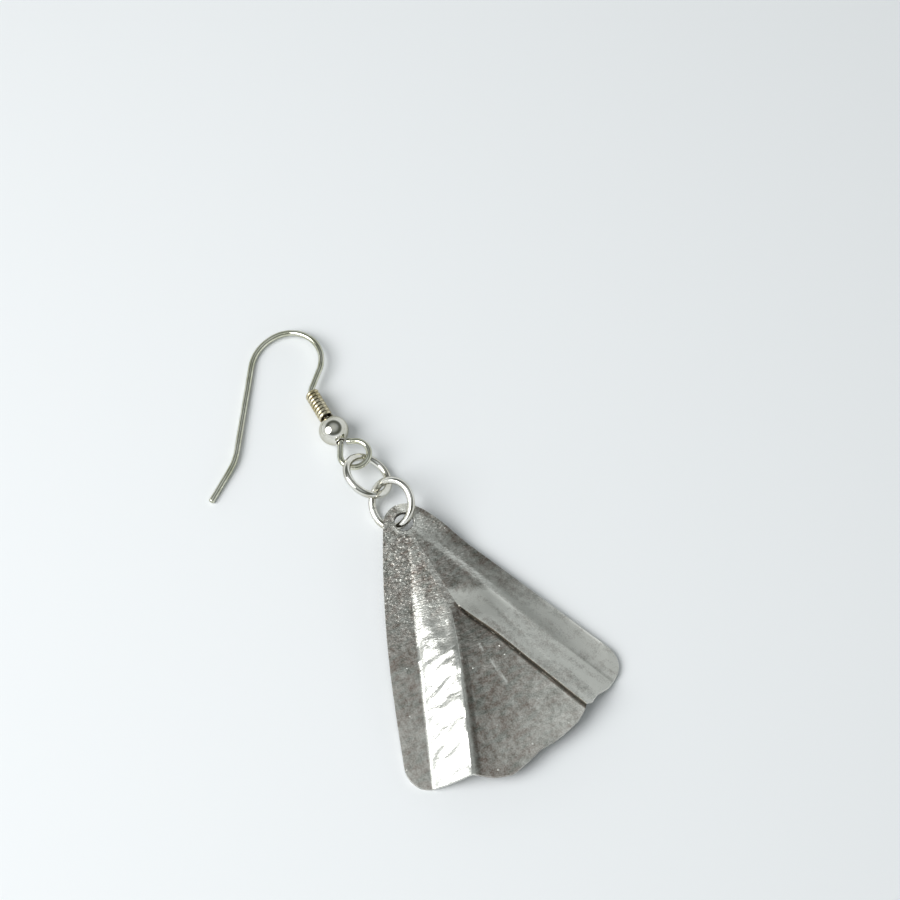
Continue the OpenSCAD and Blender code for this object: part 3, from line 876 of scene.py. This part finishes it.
# %% Table
TABLE_HALF = 1.5  # m
bm = bmesh.new()
bmesh.ops.create_grid(bm, x_segments=1, y_segments=1, size=TABLE_HALF)
mesh = bpy.data.meshes.new("table")
bm.to_mesh(mesh)
bm.free()
table = bpy.data.objects.new("table", mesh)
bpy.context.scene.collection.objects.link(table)
card, tree, _ = new_material("pale_card")
shader = add(tree, "BsdfPrincipled", {"Base Color": linear("#eff1f2"), "Roughness": 0.9,
                                      "Specular IOR Level": 0.2})
add(tree, "OutputMaterial", {"Surface": shader.outputs["BSDF"]})
mesh.materials.append(card)
print("table, m:", tuple(round(x, 2) for x in table.dimensions))

# %% [markdown]
# ## The window
# Metal shows what stands around it. A large soft window at the left gives the bright rib and the long
# white lines on the wire. It is a round lamp with a blind that keeps its light to a wide cone, so the
# table doesn't burn out in a low view from the side.

# %% Window
TOWARDS_WINDOW = (-0.66, -0.27, 0.70)  # from the earring, as the camera sees it
WINDOW_AWAY, WINDOW_W = 0.40, 0.35  # m
WINDOW_WATTS = 0.57
WINDOW_CONE = math.radians(100)

lamp = bpy.data.lights.new("window", "AREA")
lamp.shape = "DISK"
lamp.size = WINDOW_W
lamp.spread = WINDOW_CONE
lamp.energy = WINDOW_WATTS
lamp.color = linear("#fdfeff")[:3]
window = bpy.data.objects.new("window", lamp)
bpy.context.scene.collection.objects.link(window)
turned = Matrix.Rotation(AZIMUTH, 3, "Z") @ Vector(TOWARDS_WINDOW).normalized()
window.location = LOOK_AT + turned * WINDOW_AWAY
window.rotation_mode = "QUATERNION"
window.rotation_quaternion = turned.to_track_quat("Z", "Y")
print("window at, mm:", [round(x / MM) for x in window.location])

# %% [markdown]
# ## The room
# The rest of the room is what the other faces reflect, and it changes only with height: pale near the
# table, dark above that, and a middle grey overhead. The dark band gives the wires their contrast.

# %% Room
world = bpy.data.worlds.new("room")
world.use_nodes = True
bpy.context.scene.world = world
tree = world.node_tree
tree.nodes.clear()
towards = add(tree, "TexCoord").outputs["Generated"]
height = add(tree, "SeparateXYZ", {"Vector": towards}).outputs["Z"]
walls = ramp(tree, height, [(0.0, linear("#e2e6e8")), (0.34, linear("#e4e8ea")),
                            (0.45, linear("#94989a")), (0.56, linear("#595c57")),
                            (0.74, linear("#656864")), (0.86, linear("#a0a4a6")),
                            (1.0, linear("#c6cacb"))])
ROOM_STRENGTH = 1.03
room = add(tree, "Background", {"Color": walls, "Strength": ROOM_STRENGTH})
add(tree, "OutputWorld", {"Surface": room.outputs["Background"]})
bpy.context.scene.view_settings.view_transform = "Standard"
print("room's shades:", len(walls.node.color_ramp.elements))
